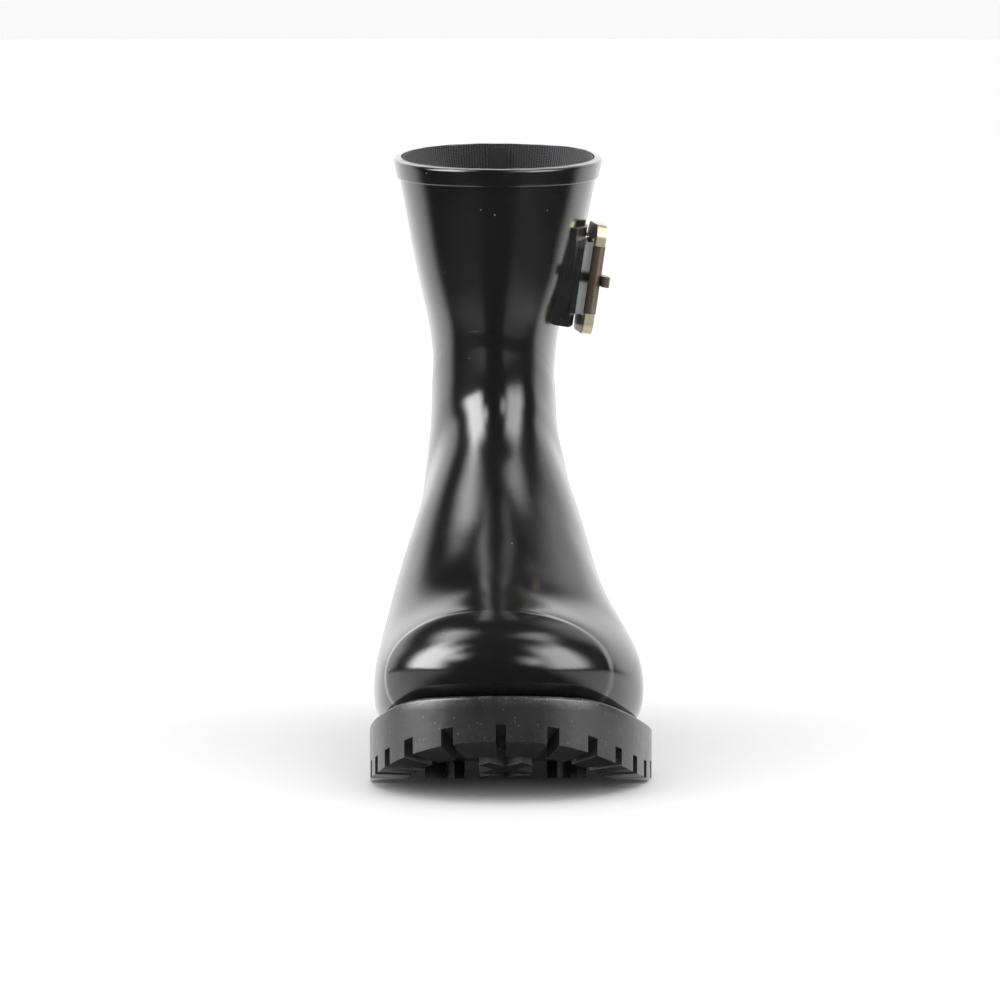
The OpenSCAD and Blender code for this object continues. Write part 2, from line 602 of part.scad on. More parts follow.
// ======================= buckle =========================================
// buckle plane: x out of the frame, y back along the frame, z along the bar
module on_frame() {
  on_leg() translate([bar[0], bar[1], 0]) rotate([0, 0, frame_lean]) children();
}
rod_r = roller_dia / 2 - 1.1;
rail_front = 2.8;
rail_back = bar_dia / 2 + 0.7;
module rail_plan() {
  difference() {
    translate([0, (rail_back - rail_front - frame_reach) / 2])
      rounded(frame_width, frame_reach + rail_front + rail_back, 5.2);
    translate([-frame_width / 2 + rail_width, -frame_reach + 2.9])
      square([frame_width - 2 * rail_width, frame_reach + 8]);
    translate([-roller_length / 2 - 0.15, -frame_reach - 8]) square([roller_length + 0.3, 16]);
  }
}
module buckle_frame() {
  color([0.74, 0.66, 0.46])
  on_frame() {
    rotate([0, 90, 0]) translate([0, 0, -frame_thick / 2]) linear_extrude(height = frame_thick) rail_plan();
    translate([0, 0, -frame_width / 2 + 1]) cylinder(h = frame_width - 2, r = bar_dia / 2, $fn = 48);
    translate([0, -frame_reach, -frame_width / 2 + 2]) cylinder(h = frame_width - 4, r = rod_r, $fn = 48);
  }
}
module buckle_roller() {
  color([0.36, 0.3, 0.23])
  on_frame() translate([0, -frame_reach, -roller_length / 2]) difference() {
    cylinder(h = roller_length, r = roller_dia / 2, $fn = 48);
    translate([0, 0, -1]) cylinder(h = roller_length + 2, r = rod_r + turn_fit, $fn = 48);
  }
}
prong_t = 3;
prong_w = 4.2;
rest_n = roller_dia / 2 + 0.05;
function prong_mid(s) = let (k = ease(s)) [k * (rest_n + 1.5), -s * frame_reach];
module prong_side() {
  ss = run(0.05, 1, 15);
  difference() {
    union() {
      circle(eye_r, $fn = 48);
      polygon(concat([for (s = ss) prong_mid(s) + [-prong_t / 2, 0]],
        [[rest_n, -frame_reach - 4.2], [rest_n + 0.9, -frame_reach - 5.4], [rest_n + 2.2, -frame_reach - 5.4],
         [rest_n + 3, -frame_reach - 4.4]],
        reversed([for (s = ss) prong_mid(s) + [prong_t / 2, 0]])));
    }
    circle(bar_dia / 2 + turn_fit, $fn = 48);
  }
}
module buckle_prong() {
  color([0.3, 0.25, 0.19])
  on_frame() side_extrude(prong_w) prong_side();
}

outsole();
forefoot_filler();
heel_filler();
insole_board();
insole();
lining();
lining_tape();
upper_shell();
vamp();
toe_cap();
heel_counter();
back_stay();
top_band();
strap_pad();
billet();
chape();
keeper_loop();
chape_rivets();
buckle_frame();
buckle_roller();
buckle_prong();
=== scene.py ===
import bpy, bmesh, math
import numpy as np
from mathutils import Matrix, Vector


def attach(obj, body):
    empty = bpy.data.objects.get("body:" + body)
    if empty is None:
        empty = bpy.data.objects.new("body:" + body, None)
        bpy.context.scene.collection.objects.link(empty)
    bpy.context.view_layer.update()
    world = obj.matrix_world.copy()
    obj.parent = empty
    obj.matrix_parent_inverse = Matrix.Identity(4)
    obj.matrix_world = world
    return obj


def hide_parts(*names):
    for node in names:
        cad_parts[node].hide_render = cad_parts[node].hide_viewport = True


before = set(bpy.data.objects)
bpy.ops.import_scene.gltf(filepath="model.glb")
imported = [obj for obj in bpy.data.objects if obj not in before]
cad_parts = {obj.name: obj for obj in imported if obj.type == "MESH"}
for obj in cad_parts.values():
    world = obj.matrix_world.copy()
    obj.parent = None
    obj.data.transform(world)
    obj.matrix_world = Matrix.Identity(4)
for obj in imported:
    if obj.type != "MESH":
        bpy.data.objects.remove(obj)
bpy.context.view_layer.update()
MM = 0.001
COLL = bpy.context.scene.collection

# ---------------------------------------------------------------- form ----
# the same sections as the CAD model, in millimetres
SECTIONS = [
    (-136.5, 44.5, -136.5, 44.5, -4.0, -4.0, -4.0, 0.50, 2.0, 2.0),
    (-139.0, 50.5, -132.5, 39.0, -20.0, 12.0, -4.0, 0.48, 2.0, 2.0),
    (-136.0, 58.0, -125.5, 36.0, -33.0, 24.5, -5.0, 0.43, 2.0, 2.8),
    (-127.5, 65.0, -115.5, 32.2, -41.5, 34.0, -5.0, 0.40, 2.0, 4.0),
    (-114.5, 69.0, -103.0, 28.2, -47.0, 41.5, -5.5, 0.37, 2.1, 5.5),
    (-98.5, 70.5, -88.0, 24.0, -50.0, 47.0, -6.0, 0.36, 2.1, 6.5),
    (-80.0, 73.0, -71.0, 20.2, -51.5, 50.5, -6.0, 0.35, 2.1, 7.0),
    (-61.0, 79.5, -52.0, 17.7, -51.0, 48.5, -6.0, 0.34, 2.1, 7.0),
    (-41.0, 90.5, -29.0, 17.0, -49.5, 42.5, -6.0, 0.33, 2.1, 6.0),
    (-21.0, 104.0, 0.0, 18.6, -47.0, 37.0, -6.0, 0.34, 2.1, 5.0),
    (-6.0, 117.0, 36.0, 24.6, -43.0, 33.5, -6.0, 0.34, 2.1, 5.0),
    (2.5, 127.0, 74.0, 29.6, -39.5, 30.5, -6.0, 0.33, 2.1, 4.4),
    (6.0, 134.0, 109.0, 29.8, -38.0, 28.0, -6.0, 0.33, 2.1, 3.4),
    (7.5, 139.5, 135.5, 33.0, -36.5, 25.5, -6.0, 0.36, 2.1, 2.6),
    (8.0, 144.5, 139.0, 54.0, -34.3, 22.2, -6.0, 0.42, 2.1, 2.3),
    (8.0, 149.5, 135.0, 81.0, -32.2, 18.4, -6.3, 0.46, 2.2, 2.2),
    (7.5, 155.0, 130.0, 108.0, -31.0, 17.0, -6.5, 0.50, 2.2, 2.2),
    (6.5, 161.5, 127.5, 135.0, -30.8, 17.2, -6.5, 0.52, 2.2, 2.2),
    (5.5, 170.0, 128.0, 160.0, -32.2, 18.8, -6.5, 0.53, 2.2, 2.2),
    (4.0, 181.0, 129.0, 181.0, -36.2, 23.6, -6.3, 0.53, 2.2, 2.2),
    (2.0, 197.0, 130.5, 197.0, -39.5, 27.8, -6.0, 0.53, 2.2, 2.2),
    (-0.5, 214.0, 132.3, 214.0, -42.4, 31.8, -5.5, 0.53, 2.2, 2.2),
    (-3.0, 231.0, 134.0, 235.0, -46.0, 35.5, -5.3, 0.53, 2.2, 2.2),
]
NR = len(SECTIONS)
NC = 16


def build_net():
    """Control points of the form, one ring of NC for each section."""
    fit = 3 / (2 + math.cos(2 * math.pi / NC))
    net = []
    for ay, az, by, bz, xl, xr, xa, k, na, nb in SECTIONS:
        a = np.array([ay, az])
        b = np.array([by, bz])
        m = b + k * (a - b)
        row = []
        for j in range(NC):
            c = math.cos(2 * math.pi * j / NC)
            s = math.sin(2 * math.pi * j / NC)
            e = na if c >= -1e-9 else nb
            pc = 0 if abs(c) < 1e-9 else abs(c) ** (2 / e)
            ps = 0 if abs(s) < 1e-9 else abs(s) ** (2 / e)
            p = m + ((a if c >= 0 else b) - m) * pc
            row.append([xa + ((xr if s >= 0 else xl) - xa) * ps, p[0], p[1]])
        row = np.array(row)
        mid = row.mean(axis=0)
        net.append(mid + (row - mid) * fit)
    net = np.array(net)
    first = np.roll(net[1], NC // 2, axis=0)
    last = 2 * net[-1] - net[-2]
    return np.concatenate([[first], net, [last]])


NET = build_net()


def bw(t):
    """Weights of the four control points round a place on the curve."""
    return np.array([(1 - t) ** 3, 3 * t ** 3 - 6 * t * t + 4,
                     3 * t + 3 * t * t - 3 * t ** 3 + 1, t ** 3]) / 6


def dbw(t):
    """The same weights' slopes."""
    return np.array([-(1 - t) ** 2, 3 * t * t - 4 * t, 1 + 2 * t - 3 * t * t, t * t]) / 2


def surf(u, v):
    """Point and unit normal of the form, in mm; u counts sections, v counts 16ths of a turn."""
    u = np.asarray(u, float)
    v = np.asarray(v, float)
    u, v = np.broadcast_arrays(u, v)
    uu = np.clip(u, 0, NR - 1)
    i = np.minimum(np.floor(uu).astype(int), NR - 2)
    t = uu - i
    j = np.floor(v).astype(int)
    s = v - j
    wu, du = bw(t), dbw(t)
    wv, dv = bw(s), dbw(s)
    p = np.zeros(u.shape + (3,))
    pu = np.zeros_like(p)
    pv = np.zeros_like(p)
    for a in range(4):
        for b in range(4):
            q = NET[i + a, (j - 1 + b) % NC]
            p += (wu[a] * wv[b])[..., None] * q
            pu += (du[a] * wv[b])[..., None] * q
            pv += (wu[a] * dv[b])[..., None] * q
    n = np.cross(pv, pu)
    ln = np.linalg.norm(n, axis=-1, keepdims=True)
    n = np.where(ln < 1e-6, np.array([0, -1.0, -0.05]), n / np.maximum(ln, 1e-6))
    n /= np.linalg.norm(n, axis=-1, keepdims=True)
    return p, n


def waves(p):
    """Slight unevenness of dipped and pressed rubber, in mm."""
    x, y, z = p[..., 0], p[..., 1], p[..., 2]
    w = np.sin(x / 13.0 + z / 21.0 + 0.7) * np.sin(y / 17.0 - z / 29.0 + 1.9)
    w += 0.6 * np.sin(x / 7.3 - y / 11.0 + 2.1) * np.sin(z / 9.7 + 0.4)
    w += 0.35 * np.sin(x / 4.1 + y / 5.3 + z / 6.1)
    return 0.07 * w


def steps(a, b, n, ra=0.0, rb=0.0, k=5):
    """Values from a to b: about n even steps, with k fine ones inside ra and rb of the ends."""
    out = [a]
    if ra:
        out += [a + (b - a) * ra * (i / k) ** 1.5 for i in range(1, k + 1)]
    lo = ra
    hi = 1 - rb
    out += [a + (b - a) * (lo + (hi - lo) * i / n) for i in range(1, n + (0 if rb else 1))]
    if rb:
        out += [a + (b - a) * (1 - rb * (i / k) ** 1.5) for i in range(k, -1, -1)]
    return np.array(out)


def edge_run(p, axis):
    """Distance in mm from the first and from the last line of the grid."""
    d = np.linalg.norm(np.diff(p, axis=axis), axis=-1)
    run = np.concatenate([np.zeros_like(np.take(d, [0], axis=axis)), np.cumsum(d, axis=axis)], axis=axis)
    total = np.take(run, [-1], axis=axis)
    return run, total - run


def swell(e, r):
    """Rounded edge: 0 at the border, 1 from the distance r inwards."""
    k = np.clip(1 - e / r, 0, 1)
    return np.sqrt(np.maximum(0, 1 - k * k))


def mesh_object(name, verts, faces, smooth=True, uv=None, sharp=None):
    me = bpy.data.meshes.new(name)
    me.from_pydata([tuple(v) for v in verts], [], faces)
    me.update()
    if uv is not None:
        layer = me.uv_layers.new(name="UVMap")
        idx = np.empty(len(me.loops), dtype=np.int32)
        me.loops.foreach_get("vertex_index", idx)
        layer.data.foreach_set("uv", np.asarray(uv, dtype=np.float32)[idx].ravel())
    if smooth:
        me.polygons.foreach_set("use_smooth", [True] * len(me.polygons))
    ob = bpy.data.objects.new(name, me)
    COLL.objects.link(ob)
    if sharp is not None:
        me.set_sharp_from_angle(angle=math.radians(sharp))
    return ob


def sheet(name, U, V, ring, d_in, d_out, ends=(0, 0, 0, 0), soft=1.4, pole=False, edge_min=0.15, thin=False):
    """A closed thin sheet lying on the form. ends marks which of its borders are rounded off, or
    skived thin: first row, last row, first column, last column."""
    p, n = surf(U, V)
    R, C = U.shape
    er0, er1 = edge_run(p, 0)
    ec0, ec1 = edge_run(p, 1)
    k = np.ones((R, C))
    for on, e in zip(ends, (er0, er1, ec0, ec1)):
        if on:
            t = np.clip(e / soft, 0, 1)
            k = np.minimum(k, t * t * (3 - 2 * t) if thin else swell(e, soft))
    k = edge_min + (1 - edge_min) * k
    w = waves(p)
    out = p + n * (w + d_in + (d_out - d_in) * k)[..., None]
    inn = p + n * (w + d_in)[..., None]
    cols = C if ring else C - 1
    ids = np.arange(R * C).reshape(R, C)
    if pole:
        ids[0, :] = 0
    m = R * C
    faces = []
    for r in range(R - 1):
        for c in range(cols):
            c2 = (c + 1) % C
            a, b, d, e = ids[r, c], ids[r, c2], ids[r + 1, c], ids[r + 1, c2]
            if pole and r == 0:
                faces.append((a, e, d))
                faces.append((a + m, d + m, e + m))
            else:
                faces.append((a, b, e, d))
                faces.append((a + m, d + m, e + m, b + m))
    for c in range(cols):
        c2 = (c + 1) % C
        if not pole:
            a, b = ids[0, c], ids[0, c2]
            faces.append((a, a + m, b + m, b))
        d, e = ids[-1, c], ids[-1, c2]
        faces.append((d, e, e + m, d + m))
    if not ring:
        for r in range(R - 1):
            a, d = ids[r, 0], ids[r + 1, 0]
            faces.append((a, d, d + m, a + m))
            b, e = ids[r, -1], ids[r + 1, -1]
            faces.append((b, b + m, e + m, e))
    verts = np.concatenate([out.reshape(-1, 3), inn.reshape(-1, 3)]) * MM
    # length along the boot and round it, in metres, for the knit and the weave
    uv = np.stack([(V - V.min()) / 16.0 * 0.33, er0 * MM], axis=-1).reshape(-1, 2)
    uv = np.concatenate([uv, uv])
    # drop vertices no face uses
    used = sorted({i for f in faces for i in f})
    new = {o: i for i, o in enumerate(used)}
    faces = [tuple(int(new[i]) for i in f) for f in faces]
    faces = [f for f in faces if len(set(f)) >= 3]
    return mesh_object(name, verts[used], faces, uv=uv[used], sharp=42)


# ----------------------------------------------------------- materials ----
def new_mat(name):
    m = bpy.data.materials.new(name)
    m.use_nodes = True
    nt = m.node_tree
    bsdf = nt.nodes["Principled BSDF"]
    return m, nt, bsdf


def node(nt, kind, **kw):
    n = nt.nodes.new(kind)
    for k, v in kw.items():
        if k in n.inputs:
            n.inputs[k].default_value = v
        else:
            setattr(n, k, v)
    return n


def ramp(nt, src, stops):
    r = nt.nodes.new("ShaderNodeValToRGB")
    els = r.color_ramp.elements
    while len(els) < len(stops):
        els.new(0.5)
    for e, (pos, col) in zip(els, stops):
        e.position = pos
        e.color = (col, col, col, 1) if isinstance(col, (int, float)) else (*col, 1)
    nt.links.new(src, r.inputs["Fac"])
    return r.outputs["Color"]


def mixc(nt, fac, a, b):
    m = nt.nodes.new("ShaderNodeMix")
    m.data_type = "RGBA"
    for sock, val in ((m.inputs["Factor"], fac), (m.inputs["A"], a), (m.inputs["B"], b)):
        if hasattr(val, "is_output"):
            nt.links.new(val, sock)
        elif isinstance(val, (int, float)):
            sock.default_value = val
        else:
            sock.default_value = (*val, 1)
    return m.outputs["Result"]


def math_node(nt, op, a, b=None, clamp=False):
    m = nt.nodes.new("ShaderNodeMath")
    m.operation = op
    m.use_clamp = clamp
    for sock, val in zip(m.inputs, (a, b)):
        if val is None:
            continue
        if hasattr(val, "is_output"):
            nt.links.new(val, sock)
        else:
            sock.default_value = val
    return m.outputs[0]


def obj_coord(nt, scale=(1, 1, 1)):
    tc = nt.nodes.new("ShaderNodeTexCoord")
    mp = nt.nodes.new("ShaderNodeMapping")
    mp.inputs["Scale"].default_value = scale
    nt.links.new(tc.outputs["Object"], mp.inputs["Vector"])
    return mp.outputs["Vector"]


def noise(nt, vec, scale, detail=2.0, rough=0.5):
    n = node(nt, "ShaderNodeTexNoise", Scale=scale, Detail=detail, Roughness=rough)
    nt.links.new(vec, n.inputs["Vector"])
    return n.outputs["Fac"]


def specks(nt, vec, scale, size, keep):
    """Sparse small dots: 1 inside a dot, 0 elsewhere."""
    v = node(nt, "ShaderNodeTexVoronoi", Scale=scale)
    nt.links.new(vec, v.inputs["Vector"])
    dot = math_node(nt, "LESS_THAN", v.outputs["Distance"], size)
    sep = nt.nodes.new("ShaderNodeSeparateColor")
    nt.links.new(v.outputs["Color"], sep.inputs["Color"])
    gate = math_node(nt, "LESS_THAN", sep.outputs["Red"], keep)
    return math_node(nt, "MULTIPLY", dot, gate)


def bump(nt, height, strength, distance, normal=None):
    b = nt.nodes.new("ShaderNodeBump")
    b.inputs["Strength"].default_value = strength
    b.inputs["Distance"].default_value = distance
    nt.links.new(height, b.inputs["Height"])
    if normal is not None:
        nt.links.new(normal, b.inputs["Normal"])
    return b.outputs["Normal"]


def rubber_gloss(name, base=0.009, rough=(0.13, 0.21), grain=0.22, dust=1.0):
    m, nt, b = new_mat(name)
    vec = obj_coord(nt)
    cloud = noise(nt, vec, 38.0, 4.0, 0.6)
    fine = noise(nt, vec, 1500.0, 2.0, 0.6)
    spk = specks(nt, vec, 420.0, 0.10, 0.035 * dust)
    spk2 = specks(nt, vec, 150.0, 0.05, 0.10 * dust)
    both = math_node(nt, "MAXIMUM", spk, spk2)
    smear = ramp(nt, noise(nt, obj_coord(nt, (1, 1, 0.25)), 60.0, 5.0, 0.7), [(0.55, 0.0), (0.75, 1.0)])
    col = mixc(nt, ramp(nt, cloud, [(0.3, 0.0), (0.7, 1.0)]), (base, base, base * 1.05),
               (base * 1.5, base * 1.5, base * 1.6))
    col = mixc(nt, math_node(nt, "MULTIPLY", smear, 0.035), col, (0.25, 0.25, 0.25))
    col = mixc(nt, math_node(nt, "MULTIPLY", both, 0.55), col, (0.34, 0.33, 0.31))
    nt.links.new(col, b.inputs["Base Color"])
    mr = nt.nodes.new("ShaderNodeMapRange")
    mr.inputs["To Min"].default_value = rough[0]
    mr.inputs["To Max"].default_value = rough[1]
    nt.links.new(cloud, mr.inputs["Value"])
    rr = math_node(nt, "ADD", mr.outputs["Result"], math_node(nt, "MULTIPLY", both, 0.5), True)
    nt.links.new(rr, b.inputs["Roughness"])
    n1 = bump(nt, fine, grain, 0.00006)
    n2 = bump(nt, noise(nt, vec, 300.0, 2.0, 0.5), 0.25, 0.0001, n1)
    n3 = bump(nt, both, 0.5, 0.0001, n2)
    nt.links.new(n3, b.inputs["Normal"])
    b.inputs["IOR"].default_value = 1.52
    return m


def rubber_satin(name, base=0.028, rough=(0.36, 0.55), grit=0.4, dust_attr=False):
    m, nt, b = new_mat(name)
    vec = obj_coord(nt)
    cloud = noise(nt, vec, 55.0, 5.0, 0.65)
    fine = noise(nt, vec, 900.0, 3.0, 0.65)
    mid = noise(nt, vec, 210.0, 3.0, 0.6)
    col = mixc(nt, ramp(nt, cloud, [(0.35, 0.0), (0.7, 1.0)]), (base, base, base),
               (base * 1.7, base * 1.68, base * 1.65))
    grains = specks(nt, vec, 700.0, 0.22, 0.10)
    amount = math_node(nt, "MULTIPLY", grains, 0.30)
    if dust_attr:
        at = nt.nodes.new("ShaderNodeAttribute")
        at.attribute_name = "dust"
        many = math_node(nt, "MULTIPLY", specks(nt, vec, 900.0, 0.34, 0.45), at.outputs["Fac"])
        haze = math_node(nt, "MULTIPLY", ramp(nt, mid, [(0.4, 0.0), (0.7, 1.0)]), at.outputs["Fac"])
        haze = math_node(nt, "MULTIPLY", haze, 0.22)
        amount = math_node(nt, "ADD", amount, math_node(nt, "MULTIPLY", many, 0.6))
        amount = math_node(nt, "ADD", amount, haze, True)
    col = mixc(nt, amount, col, (0.30, 0.29, 0.27))
    nt.links.new(col, b.inputs["Base Color"])
    mr = nt.nodes.new("ShaderNodeMapRange")
    mr.inputs["To Min"].default_value = rough[0]
    mr.inputs["To Max"].default_value = rough[1]
    nt.links.new(mid, mr.inputs["Value"])
    nt.links.new(mr.outputs["Result"], b.inputs["Roughness"])
    n1 = bump(nt, fine, grit, 0.00012)
    n2 = bump(nt, mid, 0.3, 0.0003, n1)
    nt.links.new(n2, b.inputs["Normal"])
    b.inputs["IOR"].default_value = 1.5
    return m


def knit(name, base=(0.035, 0.035, 0.037), stitch=0.0016):
    m, nt, b = new_mat(name)
    uv = nt.nodes.new("ShaderNodeUVMap")
    uv.uv_map = "UVMap"
    sep = nt.nodes.new("ShaderNodeSeparateXYZ")
    nt.links.new(uv.outputs["UV"], sep.inputs["Vector"])
    wob = math_node(nt, "MULTIPLY", noise(nt, obj_coord(nt), 180.0, 2.0, 0.5), 0.0012)
    x = math_node(nt, "ADD", sep.outputs["X"], wob)
    ribs = math_node(nt, "ABSOLUTE", math_node(nt, "SINE", math_node(nt, "MULTIPLY", x, math.pi / stitch)))
    skew = math_node(nt, "MULTIPLY", ribs, 0.9)
    loops = math_node(nt, "ABSOLUTE", math_node(nt, "SINE", math_node(nt, "ADD",
              math_node(nt, "MULTIPLY", sep.outputs["Y"], math.pi / (stitch * 0.8)), skew)))
    h = math_node(nt, "MULTIPLY", ribs, math_node(nt, "ADD", math_node(nt, "MULTIPLY", loops, 0.6), 0.4))
    fuzz = noise(nt, obj_coord(nt), 1400.0, 4.0, 0.8)
    # the stitch height also sets the colour: darker in the hollows between the loops is painted shade,
    # lighter on the loop tops is a painted highlight
    col = mixc(nt, ramp(nt, h, [(0.0, 0.0), (0.8, 1.0)]), tuple(c * 0.35 for c in base),
               tuple(c * 1.5 for c in base))
    col = mixc(nt, ramp(nt, fuzz, [(0.55, 0.0), (0.8, 0.5)]), col, tuple(c * 3.2 for c in base))
    nt.links.new(col, b.inputs["Base Color"])
    b.inputs["Roughness"].default_value = 0.95
    b.inputs["Sheen Weight"].default_value = 0.25
    b.inputs["Sheen Roughness"].default_value = 0.5
    n1 = bump(nt, h, 0.8, 0.0004)
    n2 = bump(nt, fuzz, 0.5, 0.0002, n1)
    nt.links.new(n2, b.inputs["Normal"])
    return m


def metal(name, base, dark, rough=(0.22, 0.42), streak=(1, 1, 1), streak_amt=0.25):
    m, nt, b = new_mat(name)
    vec = obj_coord(nt)
    sv = obj_coord(nt, streak)
    cloud = noise(nt, vec, 160.0, 5.0, 0.65)
    lines = noise(nt, sv, 900.0, 3.0, 0.6)
    geo = nt.nodes.new("ShaderNodeNewGeometry")
    worn = ramp(nt, geo.outputs["Pointiness"], [(0.47, 0.0), (0.56, 1.0)])
    dull = tuple(b0 * 0.72 + d0 * 0.28 for b0, d0 in zip(base, dark))
    col = mixc(nt, ramp(nt, cloud, [(0.38, 0.0), (0.66, 1.0)]), base, dull)
    streaks = math_node(nt, "MULTIPLY", ramp(nt, lines, [(0.45, 0.0), (0.65, 1.0)]), streak_amt)
    col = mixc(nt, streaks, col, dark)
    col = mixc(nt, math_node(nt, "MULTIPLY", worn, 0.35), col, tuple(min(1, c * 1.3) for c in base))
    nt.links.new(col, b.inputs["Base Color"])
    b.inputs["Metallic"].default_value = 0.6
    mr = nt.nodes.new("ShaderNodeMapRange")
    mr.inputs["To Min"].default_value = rough[0]
    mr.inputs["To Max"].default_value = rough[1]
    nt.links.new(cloud, mr.inputs["Value"])
    nt.links.new(mr.outputs["Result"], b.inputs["Roughness"])
    n1 = bump(nt, lines, 0.2, 0.0001)
    n2 = bump(nt, noise(nt, vec, 700.0, 3.0, 0.6), 0.15, 0.0001, n1)
    nt.links.new(n2, b.inputs["Normal"])
    return m


def board_mat(name, base, scale=700.0):
    m, nt, b = new_mat(name)
    vec = obj_coord(nt)
    f = noise(nt, vec, scale, 5.0, 0.7)
    c = noise(nt, vec, 60.0, 3.0, 0.5)
    col = mixc(nt, ramp(nt, f, [(0.3, 0.0), (0.7, 1.0)]), tuple(v * 0.6 for v in base), base)
    col = mixc(nt, math_node(nt, "MULTIPLY", c, 0.4), col, tuple(v * 0.7 for v in base))
    nt.links.new(col, b.inputs["Base Color"])
    b.inputs["Roughness"].default_value = 0.9
    nt.links.new(bump(nt, f, 0.6, 0.0004), b.inputs["Normal"])
    return m


M_GLOSS = rubber_gloss("gloss_rubber")
M_SOLE = rubber_satin("sole_rubber", base=0.018, rough=(0.26, 0.42), grit=0.3, dust_attr=True)
M_STRAP = rubber_satin("strap_rubber", base=0.020, rough=(0.26, 0.42), grit=0.25)
M_KNIT = knit("lining_knit")
M_TAPE = knit("tape_weave", base=(0.012, 0.012, 0.013), stitch=0.0009)
M_INSOLE = knit("insole_cloth", base=(0.05, 0.05, 0.052), stitch=0.0012)
M_GOLD = metal("antique_gold", (0.86, 0.74, 0.52), (0.34, 0.26, 0.16))
M_BRONZE = metal("dark_bronze", (0.20, 0.155, 0.12), (0.07, 0.055, 0.045), rough=(0.26, 0.45))
M_FILL = board_mat("sponge", (0.20, 0.19, 0.18), 500.0)
M_BOARD = board_mat("fibre_board", (0.45, 0.37, 0.26))


def put(ob, body, mat, *nodes, slot=None):
    ob.data.materials.clear()
    ob.data.materials.append(mat)
    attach(ob, body)
    if nodes:
        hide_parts(*nodes)
    return ob


def grid(us, vs):
    V, U = np.meshgrid(vs, us)
    return U, V


# --------------------------------------------------------------- upper ----
# thickness of each layer, in mm, counted outwards and inwards from the form
SHELL = 2.0
LINING = 1.2
VAMP = 0.8
CAP = 0.95
COUNTER = 1.0
STAY = 1.0
BAND = 1.1
GAP = 0.02
LINING_IN = SHELL + LINING
RING = np.arange(0, 128) / 8.0


us = steps(0, NR - 1, 170)
U, V = grid(us, RING)
top = np.clip((U - 21.7) / 0.3, 0, 1)
U = U - top * (0.004 * np.sin(V * 1.96) + 0.002 * np.sin(V * 7.85 + 1.0) + 0.008)
leg = sheet("leg_shell", U, V, True, -SHELL, 0.0, pole=True)
put(leg, "boot", M_GLOSS, "upper_shell", slot="gloss_rubber")

U, V = grid(us, RING)
top = np.clip((U - 21.5) / 0.5, 0, 1)
U = U - top * (0.004 * np.sin(V * 1.96 + 2.0) + 0.003 * np.sin(V * 9.03) + 0.02)
lin = sheet("sock_lining", U, V, True, -LINING_IN, -SHELL - GAP, pole=True, ends=(0, 1, 0, 0), soft=0.6,
            edge_min=0.6)
put(lin, "boot", M_KNIT, "lining", slot="knit")

# vamp, with its top edge running over the front of the leg and down to the heel
th = RING * 2 * math.pi / 16
drop = 1.28 * (1 - np.cos(th)) + 0.40 * np.sin(th)
drop = 1.3 * np.tanh(drop / 1.3)
u1 = 17.55 - drop
ss = steps(0, 1, 150, 0, 0.03, 10)
U = ss[:, None] * u1[None, :]
V = np.broadcast_to(RING, U.shape)
vamp = sheet("vamp_sheet", U, V, True, 0.0, VAMP, pole=True, ends=(0, 1, 0, 0), soft=7.0, edge_min=0.6,
             thin=True)
put(vamp, "boot", M_GLOSS, "vamp", slot="gloss_rubber")

# toe cap
cap_u = 4.25 - 0.9 * np.sin(th / 2) ** 2 - 0.25 * np.sin(th)
ss = steps(0, 1, 50, 0, 0.09, 10)
U = ss[:, None] * cap_u[None, :]
V = np.broadcast_to(RING, U.shape)
cap = sheet("toe_cap_sheet", U, V, True, VAMP, VAMP + CAP, pole=True, ends=(0, 1, 0, 0), soft=6.0,
            edge_min=0.35, thin=True)
put(cap, "boot", M_GLOSS, "toe_cap", slot="gloss_rubber")

# heel counter: front edge leans forward towards the sole
ts = steps(0, 1, 60, 0.02, 0.02, 5)
ss = steps(0, 1, 40, 0.03, 0.03, 5)
S, T = np.meshgrid(ss, ts, indexing="ij")
Uc = 10.9 + (15.55 - 10.9) * S
reach = 1.2 + 1.9 * np.clip(S / 0.55, 0, 1) ** 0.9
V = 8 + (T * 2 - 1) * reach
counter = sheet("counter_sheet", Uc, V, False, VAMP, VAMP + COUNTER, ends=(1, 1, 1, 1), soft=1.2)
put(counter, "boot", M_GLOSS, "heel_counter", slot="gloss_rubber")

# back stay
ts = steps(0, 1, 14, 0.1, 0.1, 4)
ss = steps(15.2, 21.55, 70)
S, T = np.meshgrid(ss, ts, indexing="ij")
stay = sheet("back_stay_strip", S, 8 + (T * 2 - 1) * 0.6, False, 0.0, STAY, ends=(0, 0, 1, 1), soft=1.0)
put(stay, "boot", M_GLOSS, "back_stay", slot="gloss_rubber")

# band round the top edge
band_u = 21.585
ss = steps(band_u, 22.0, 10, 0.12, 0.06, 5)
U, V = grid(ss, RING)
top = np.clip((U - 21.8) / 0.2, 0, 1)
U = U - top * (0.004 * np.sin(V * 1.96) + 0.002 * np.sin(V * 7.85 + 1.0) + 0.008)
band = sheet("rim_band", U, V, True, 0.0, BAND, ends=(1, 1, 0, 0), soft=0.8)
put(band, "boot", M_GLOSS, "top_band", slot="gloss_rubber")

# lining tape and insole
ss = steps(15, 21.9, 60)
ts = steps(0, 1, 10, 0.12, 0.12, 4)
S, T = np.meshgrid(ss, ts, indexing="ij")
tape = sheet("lining_seam_tape", S, 8 + (T * 2 - 1) * 0.3, False, -LINING_IN - 0.8, -LINING_IN)
put(tape, "boot", M_TAPE, "lining_tape", slot="knit")

ss = steps(3, 12.2, 90)
ts = steps(0, 1, 40)
S, T = np.meshgrid(ss, ts, indexing="ij")
hw = 1.5 * np.sqrt(np.clip((S - 3) / 0.8, 0.06, 1)) * np.sqrt(np.clip((12.2 - S) / 0.5, 0.1, 1))
ins = sheet("footbed", S, 8 + (T * 2 - 1) * hw, False, -LINING_IN - 3.6, -LINING_IN - 0.1)
put(ins, "boot", M_INSOLE, "insole", slot="knit")

